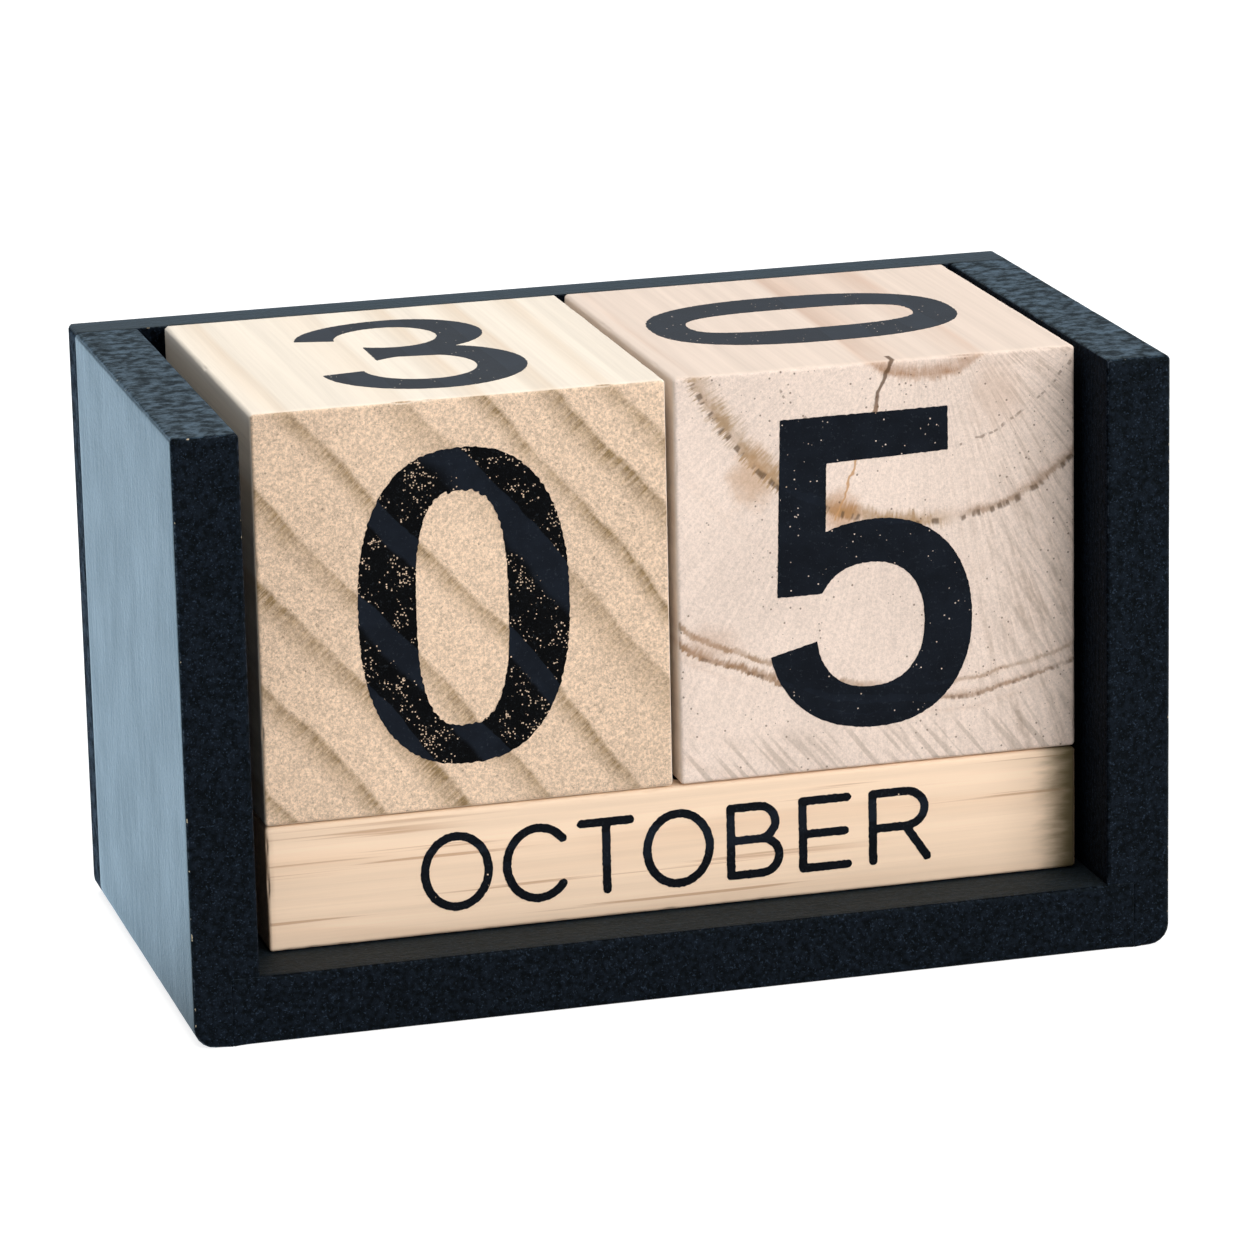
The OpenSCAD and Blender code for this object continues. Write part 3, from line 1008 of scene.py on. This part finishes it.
# Letter: width between stroke middles, room on the left, room on the right, strokes
LETTERS = {
    "A": (7.6, 0.85, 0.85, [[(0, 0), (3.8, LETTER_H), (7.6, 0)], [(1.25, 2.8), (6.35, 2.8)]]),
    "B": (6.05, 1.5, 1.4, [STEM, bowl(LETTER_H, WAIST, 3.5, 2.1), bowl(WAIST, 0, 3.8, 2.25)]),
    "C": (7.0, 1.1, 1.35, [arc(OVAL_MIDDLE, OVAL_HALF, 40, 320)]),
    "D": (6.8, 1.5, 1.15, [STEM, bowl(LETTER_H, 0, 2.6, 4.2)]),
    "E": (5.65, 1.6, 1.6, [STEM, arm(5.65, LETTER_H), arm(5.3, 4.28), arm(5.65, 0)]),
    "F": (5.3, 1.6, 1.2, [STEM, arm(5.3, LETTER_H), arm(4.9, 4.28)]),
    "G": (7.6, 1.1, 1.4, [arc(OVAL_MIDDLE, OVAL_HALF, 42, 357), [(4.4, 4.0), (7.8, 4.0)]]),
    "H": (6.7, 1.5, 1.5, [STEM, [(6.7, 0), (6.7, LETTER_H)], [(0, 4.28), (6.7, 4.28)]]),
    "I": (0.0, 1.5, 1.5, [STEM]),
    "J": (4.2, 0.9, 1.5, [[(4.2, LETTER_H), *arc((2.1, 2.1), (2.1, 2.2), 0, -165)]]),
    "L": (5.0, 1.5, 0.8, [[(0, LETTER_H), (0, 0), (5.0, 0)]]),
    "M": (8.0, 1.5, 1.5, [[(0, 0), (0, LETTER_H), (4.0, 2.4), (8.0, LETTER_H), (8.0, 0)]]),
    "N": (6.6, 1.5, 1.5, [[(0, 0), (0, LETTER_H), (6.6, 0), (6.6, LETTER_H)]]),
    "O": (7.8, 1.15, 1.15, [arc(OVAL_MIDDLE, OVAL_HALF, 0, 360)]),
    "P": (6.1, 1.5, 1.1, [STEM, bowl(LETTER_H, 3.9, 3.8, 2.3)]),
    "R": (6.9, 1.6, 1.1, [STEM, bowl(LETTER_H, 4.05, 4.1, 2.5), [(4.2, 4.05), (6.85, 0)]]),
    "S": (5.9, 1.2, 1.2, [UPPER_S + LOWER_S]),
    "T": (6.05, 0.9, 0.9, [[(0, LETTER_H), (6.05, LETTER_H)], [(3.05, LETTER_H), (3.05, 0)]]),
    "U": (6.4, 1.5, 1.5, [[(0, LETTER_H), *arc((3.2, 3.0), (3.2, 3.1), 180, 360), (6.4, LETTER_H)]]),
    "V": (7.2, 0.85, 0.85, [[(0, LETTER_H), (3.6, 0), (7.2, LETTER_H)]]),
    "Y": (6.8, 0.85, 0.85, [[(0, LETTER_H), (3.4, 4.0), (6.8, LETTER_H)], [(3.4, 4.0), (3.4, 0)]]),
}


def stroke_field(x, y, points):
    """Distance from a line of points, less half the stroke, so its ends are round."""
    nearest = np.full(np.broadcast(x, y).shape, 1e9)
    for (x0, y0), (x1, y1) in zip(points, points[1:]):
        dx, dy = x1 - x0, y1 - y0
        share = np.clip(((x - x0) * dx + (y - y0) * dy) / max(dx * dx + dy * dy, 1e-9), 0, 1)
        nearest = np.minimum(nearest, np.hypot(x - x0 - share * dx, y - y0 - share * dy))
    return nearest - STROKE / 2


def word_field(word, x, y, face_width):
    """A month name centred along a bar's face."""
    length = sum(width + before + after for width, before, after, _ in map(LETTERS.get, word))
    start = (face_width - length) / 2
    field = np.full(np.broadcast(x, y).shape, 1e9)
    for letter in word:
        width, before, after, strokes = LETTERS[letter]
        start += before
        near = (x[0] > start - 2) & (x[0] < start + width + 2)
        for points in strokes:
            moved = [(px + start, py + BASELINE) for px, py in points]
            patch = stroke_field(x[:, near], y[:, near], moved)
            field[:, near] = np.minimum(field[:, near], patch)
        start += width + after
    return field


# ---------------------------------------------------------------- from fields to printed films

GRID = 0.14  # spacing of the field that a print's outline is traced on
THIN_TO = 0.012  # how far a traced outline may be simplified
LEAST_LOOP = 8  # shorter traced loops are specks, and are left out
LONGEST_RUN = 40  # the most traced points that one straight piece may stand for

# Where the outline enters and leaves a cell, by which corners are inside, with the inside on the left.
# Corners count 1, 2, 4 and 8 anticlockwise from the lower left. Sides are bottom, right, top and left.
B, R, T, L = range(4)
CROSSINGS = {
    1: [(B, L)],
    2: [(R, B)],
    3: [(R, L)],
    4: [(T, R)],
    5: [(B, L), (T, R)],
    6: [(T, B)],
    7: [(T, L)],
    8: [(L, T)],
    9: [(B, T)],
    10: [(L, T), (R, B)],
    11: [(R, T)],
    12: [(L, R)],
    13: [(B, R)],
    14: [(L, B)],
}


def side_key(side, i, j):
    """One name for a grid edge, whichever of its two cells asks."""
    return {B: ("h", i, j), T: ("h", i, j + 1), L: ("v", i, j), R: ("v", i + 1, j)}[side]


def outlines(field, xs, ys):
    """The closed lines where a field is zero, as lists of points."""
    inside = (field < 0).astype(int)
    code = inside[:-1, :-1] + 2 * inside[:-1, 1:] + 4 * inside[1:, 1:] + 8 * inside[1:, :-1]
    following = {}
    for j, i in zip(*np.nonzero((code > 0) & (code < 15))):
        for came, goes in CROSSINGS[int(code[j, i])]:
            following[side_key(came, i, j)] = side_key(goes, i, j)

    def crossing(key):
        kind, i, j = key
        i2, j2 = (i + 1, j) if kind == "h" else (i, j + 1)
        a, b = field[j, i], field[j2, i2]
        share = a / (a - b)
        return (xs[i] + (xs[i2] - xs[i]) * share, ys[j] + (ys[j2] - ys[j]) * share)

    loops = []
    while following:
        first = next(iter(following))
        key, loop = first, []
        while key in following:
            loop.append(crossing(key))
            key = following.pop(key)
        loops.append(loop)
    return loops


def thinned(loop):
    """The loop without the points that lie on the line between their neighbours."""
    points = np.array(loop)
    kept, start = [0], 0
    count = len(points)
    while start < count - 1:
        stop = start + 1
        while stop + 1 < count and stop - start < LONGEST_RUN:
            chord = points[stop + 1] - points[start]
            length = np.hypot(*chord)
            between = points[start + 1 : stop + 1] - points[start]
            off = np.abs(between[:, 0] * chord[1] - between[:, 1] * chord[0]) / max(length, 1e-9)
            if off.max() > THIN_TO:
                break
            stop += 1
        kept.append(stop)
        start = stop
    if np.hypot(*(points[kept[-1]] - points[0])) < GRID / 3:
        kept.pop()
    return points[kept]


def face_place(low, high, normal, up):
    """Turns face coordinates and a height above the wood into points, for one face of a block."""
    normal, up = np.array(normal), np.array(up)
    right = np.cross(up, normal)
    origin = np.where(normal + right + up > 0, low, high).astype(float)
    axis = int(np.flatnonzero(normal)[0])
    origin[axis] = high[axis] - PRINT_T if normal[axis] > 0 else low[axis] + PRINT_T
    return lambda u, v, height: origin + u * right + v * up + height * normal


def loop_area(loop):
    x, y = loop[:, 0], loop[:, 1]
    return 0.5 * np.sum(x * np.roll(y, -1) - np.roll(x, -1) * y)


def islands(loops):
    """Groups of loops, each an outer line with the holes in it."""
    holes = [loop for loop in loops if loop_area(loop) < 0]
    outers = [loop for loop in loops if loop_area(loop) > 0]
    return [[outer, *(hole for hole in holes if holds(outer, hole[0]))] for outer in outers]


def film(name, field, xs, ys, place):
    """A thin solid print over every part of the field that is below zero."""
    loops = [thinned(loop) for loop in outlines(field, xs, ys) if len(loop) > LEAST_LOOP]
    points, faces = [], []
    for island in islands(loops):
        add_island(island, place, points, faces)
    return new_mesh(name, points, faces, smooth=False)


def add_island(island, place, points, faces):
    """Adds one outline with its holes to a film, as a front, a back and side walls."""
    flat = np.vstack(island)
    triangles = geometry.tessellate_polygon([[Vector((x, y, 0)) for x, y in loop] for loop in island])
    first, count = len(points), len(flat)
    points += [place(x, y, PRINT_T - PRINT_SHORT) for x, y in flat]
    points += [place(x, y, -PRINT_SINK) for x, y in flat]
    for a, b, c in triangles:
        (ax, ay), (bx, by), (cx, cy) = flat[a], flat[b], flat[c]
        if (bx - ax) * (cy - ay) - (by - ay) * (cx - ax) < 0:
            b, c = c, b
        faces.append([first + a, first + b, first + c])
        faces.append([first + c + count, first + b + count, first + a + count])
    for loop in island:
        size = len(loop)
        for k in range(size):
            a, b = first + k, first + (k + 1) % size
            faces.append([a, a + count, b + count, b])
        first += size


def ragged(x, y, amount, seed):
    """A small smooth disturbance that roughens a printed edge."""
    random = np.random.default_rng(seed)
    total = 0.0
    for _ in range(14):
        turn = random.uniform(0, math.tau)
        wave = random.uniform(0.4, 1.5)
        phase = random.uniform(0, math.tau)
        total = total + np.sin((x * math.cos(turn) + y * math.sin(turn)) * math.tau / wave + phase)
    return total * amount / math.sqrt(14)


# ---------------------------------------------------------------- the tray


def build_tray():
    left, bottom = TRAY_LOW[0], TRAY_LOW[2]
    top = TRAY_HIGH[2]
    joint = (JOINT_EASE, JOINT_EASE)
    open_edge = (BOARD_EASE, JOINT_EASE)
    inner_edge = (INNER_EASE, JOINT_EASE)
    side_corners = [
        (left, bottom, CORNER_R, *open_edge),
        (-RABBET_X - TAPER, bottom, 0, *joint),
        (-RABBET_X, bottom, 0.1, *joint),
        (-RABBET_X, BASE_TOP, 0.1, *joint),
        (-WALL_X, BASE_TOP, 0.1, *joint),
        (-WALL_X, BASE_TOP + TAPER, 0, *inner_edge),
        (-WALL_X, top, 0.5, *open_edge),
        (left, top, 0.6, *open_edge),
    ]
    base_corners = [
        (-RABBET_X, bottom, 0.1, *joint),
        (-RABBET_X + TAPER, bottom, 0, *open_edge),
        (RABBET_X - TAPER, bottom, 0, *joint),
        (RABBET_X, bottom, 0.1, *joint),
        (RABBET_X, BASE_TOP, 0.1, *joint),
        (WALL_X - TAPER, BASE_TOP, 0, *inner_edge),
        (-WALL_X + TAPER, BASE_TOP, 0, *joint),
        (-RABBET_X, BASE_TOP, 0.1, *joint),
    ]
    panel_corners = [
        (left, bottom, CORNER_R, SEAM_EASE, BOARD_EASE),
        (-left, bottom, CORNER_R, SEAM_EASE, REAR_R),
        (-left, top, 0.6, SEAM_EASE, BOARD_EASE),
        (left, top, 0.6, SEAM_EASE, REAR_R),
    ]
    front = TRAY_LOW[1]
    boards = [
        ("left_side_board", "left_side", side_corners, front, PANEL_FRONT, "z", RIGHT, 0.04),
        ("right_side_board", "right_side", mirrored(side_corners), front, PANEL_FRONT, "z", LEFT, 0.04),
        ("base_board", "base", base_corners, front, PANEL_FRONT, "x", UP, 0.5),
        ("back_board", "back_panel", panel_corners, PANEL_FRONT, TRAY_HIGH[1], "x", FRONT, 0.04),
    ]
    for seed, (name, node, corners, low, high, long_axis, inner, inner_shine) in enumerate(boards):
        board = swept_block(name, corners, low, high, BOARD_STEP)
        wear_edges(board, rub=0.06, chip=0.5, seed=seed + 1)
        board.data.materials.append(paint(name + "_paint", long_axis, inner, inner_shine, seed))
        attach(board, "tray")
        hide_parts(node)


# ---------------------------------------------------------------- the blocks

# Each cube: body, node, faces of (figure, outward direction, direction of the figure's top, shift)
LEFT_FACES = [
    ("0", FRONT, UP, (0, 0)),
    ("3", UP, BACK, (0, 0)),
    ("1", LEFT, UP, (0, 0)),
    ("4", RIGHT, UP, (0, 0)),
    ("2", BACK, UP, (0, 0)),
    ("8", DOWN, FRONT, (0, 0)),
]
RIGHT_FACES = [
    ("5", FRONT, UP, (0, 0)),
    ("0", UP, RIGHT, (-0.5, -1.0)),
    ("1", LEFT, UP, (0, 0)),
    ("6", RIGHT, UP, (0, 0)),
    ("2", BACK, UP, (0, 0)),
    ("7", DOWN, FRONT, (0, 0)),
]
BAR_FACES = [FRONT, UP, BACK, DOWN]
BAR_TOPS = [UP, BACK, DOWN, FRONT]
MONTHS = {
    "rear": ["JANUARY", "FEBRUARY", "MARCH", "APRIL"],
    "middle": ["MAY", "JUNE", "JULY", "AUGUST"],
    "front": ["OCTOBER", "NOVEMBER", "DECEMBER", "SEPTEMBER"],
}


def build_block(name, node, body, wood_material, along_x, seed):
    """One eased wooden block, a little inside its CAD faces so that the printing stands proud of it."""
    low, high = box_mm(node)
    low, high = low + PRINT_T, high - PRINT_T
    if along_x:
        spans = ((-high[1], -low[1]), (low[0], high[0]))
    else:
        spans = ((low[0], high[0]), (low[1], high[1]))
    (left, right), (near, far) = spans
    corners = [(left, low[2]), (right, low[2]), (right, high[2]), (left, high[2])]
    corners = [(x, z, BLOCK_EASE * 1.1, BLOCK_EASE, BLOCK_EASE) for x, z in corners]
    block = swept_block(name, corners, near, far, BLOCK_STEP, along_x)
    wear_edges(block, rub=0.07, chip=0.75, seed=seed)
    block.data.materials.append(wood_material)
    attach(block, body)
    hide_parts(node)
    return block


def printed(name, field, xs, ys, place, material, body):
    made = film(name, field, xs, ys, place)
    made.data.materials.append(material)
    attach(made, body)


def build_cube(side, faces, wood, wear, seed):
    """A date cube with a figure on each face."""
    node, body = side + "_date_cube", side + "_cube"
    material, group = pine(side + "_cube_wood", wood)
    build_block(side + "_cube_block", node, body, material, False, seed)
    worn_ink = ink(side + "_worn_ink", group, wear, 0.0)
    fresh_ink = ink(side + "_ink", group, 0.3, 0.75)
    low, high = box_mm(node)
    xs = np.arange(2, CUBE_SIZE - 2, GRID)
    x, y = np.meshgrid(xs, xs)
    for k, (figure, outward, top, (dx, dy)) in enumerate(faces):
        worn = side == "left" and outward == FRONT
        field = FIGURES[figure](x - dx, y - dy) + ragged(x, y, 0.05 if worn else 0.03, seed * 10 + k)
        name = f"{side}_cube_figure_{figure}_{k + 1}"
        place = face_place(low, high, outward, top)
        printed(name, field, xs, xs, place, worn_ink if worn else fresh_ink, body)


def build_bar(which, wood, seed):
    """A month bar with a month on each long face."""
    node, body = which + "_month_bar", which + "_bar"
    material, group = pine(which + "_bar_wood", wood)
    build_block(which + "_bar_block", node, body, material, True, seed)
    letters_ink = ink(which + "_bar_ink", group, 0.02, 0.4)
    low, high = box_mm(node)
    xs = np.arange(2, high[0] - low[0] - 2, GRID)
    ys = np.arange(1, high[2] - low[2] - 1, GRID)
    x, y = np.meshgrid(xs, ys)
    for k, month in enumerate(MONTHS[which]):
        field = word_field(month, x, y, high[0] - low[0]) + ragged(x, y, 0.03, seed * 10 + k)
        place = face_place(low, high, BAR_FACES[k], BAR_TOPS[k])
        printed(f"{which}_bar_{month.lower()}", field, xs, ys, place, letters_ink, body)


def finish_brads():
    """The steel brads stay as the CAD has them, with a better material."""
    material = steel("brad_steel_wire")
    for name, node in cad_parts.items():
        if "brad" in name:
            node.data.materials.clear()
            node.data.materials.append(material)


# ---------------------------------------------------------------- stage

CAMERA_AT = (-0.1863, -0.6906, 0.2347)
CAMERA_YAW, CAMERA_PITCH, CAMERA_ROLL = 15.207, -15.413, -1.261
CAMERA_LENS = 174.12
FLOOR_HALF = 4000


def build_camera():
    data = bpy.data.cameras.new("camera")
    data.lens = CAMERA_LENS
    data.sensor_width = 36
    data.clip_start, data.clip_end = 0.01, 50
    camera = bpy.data.objects.new("camera", data)
    camera.location = CAMERA_AT
    look = Euler((math.radians(90 + CAMERA_PITCH), 0, math.radians(-CAMERA_YAW))).to_matrix()
    camera.rotation_euler = (look @ Matrix.Rotation(math.radians(CAMERA_ROLL), 3, "Z")).to_euler()
    bpy.context.scene.collection.objects.link(camera)
    bpy.context.scene.camera = camera


def build_floor():
    """A pale floor that photographs as plain white, and lights the scene coolly from the back left."""
    far = FLOOR_HALF
    corners = [(-far, -far, 0), (far, -far, 0), (far, far, 0), (-far, far, 0)]
    floor = new_mesh("floor", corners, [[0, 1, 2, 3]])
    material, n, shader = new_material("floor_paper")
    x, y, _ = n.apart(n.position())
    behind = n.fit(n.plus(n.times(x, -0.6), n.times(y, 0.8)), -10.0, 70.0)
    glow = n.blend(behind, (0.06, 0.05, 0.04, 1), (1.35, 1.86, 2.32, 1))
    seen = n.add("LightPath", output="Is Camera Ray")
    n.put(shader.inputs["Emission Color"], n.blend(seen, glow, (0.8, 0.8, 0.8, 1)))
    shader.inputs["Emission Strength"].default_value = 1.0
    shader.inputs["Base Color"].default_value = (0.5, 0.5, 0.5, 1)
    shader.inputs["Roughness"].default_value = 0.8
    shader.inputs["Specular IOR Level"].default_value = 0.1
    floor.data.materials.append(material)


def area_light(name, at, target, size, energy, colour):
    data = bpy.data.lights.new(name, "AREA")
    data.shape = "RECTANGLE"
    data.size, data.size_y = size
    data.energy = energy
    data.color = colour
    light = bpy.data.objects.new(name, data)
    light.location = at
    light.rotation_euler = (Vector(target) - Vector(at)).to_track_quat("-Z", "Y").to_euler()
    bpy.context.scene.collection.objects.link(light)


def build_light():
    world = bpy.data.worlds.new("studio")
    world.use_nodes = True
    n = Nodes(world.node_tree)
    _, depth, height = n.apart(n.texture.outputs["Generated"])
    sky = n.blend(n.fit(height, 0.3, 0.6), (0.33, 0.44, 0.58, 1), (0.46, 0.45, 0.44, 1))
    sky = n.blend(n.fit(depth, 0.3, -0.2), sky, (0.12, 0.12, 0.12, 1))
    n.put(world.node_tree.nodes["Background"].inputs["Color"], sky)
    bpy.context.scene.world = world
    area_light("overhead", (-0.1, 0.1, 1.1), (0, 0, 0.03), (1.0, 0.8), 8.0, (1.0, 0.97, 0.93))
    area_light("front_fill", (0.75, -1.15, 0.62), (0, 0, 0.04), (1.3, 1.0), 20.5, (1.0, 0.98, 0.97))
    bpy.context.scene.view_settings.view_transform = "Standard"


# ---------------------------------------------------------------- everything in turn

build_camera()
build_floor()
build_light()
build_tray()
build_cube("left", LEFT_FACES, LEFT_WOOD, wear=1.0, seed=11)
build_cube("right", RIGHT_FACES, RIGHT_WOOD, wear=0.3, seed=23)
build_bar("front", bar_wood((-60.0, -25.0), 3.0), seed=31)
build_bar("middle", bar_wood((-70.0, 30.0), 1.0), seed=37)
build_bar("rear", bar_wood((-50.0, -40.0), 5.0), seed=41)
finish_brads()
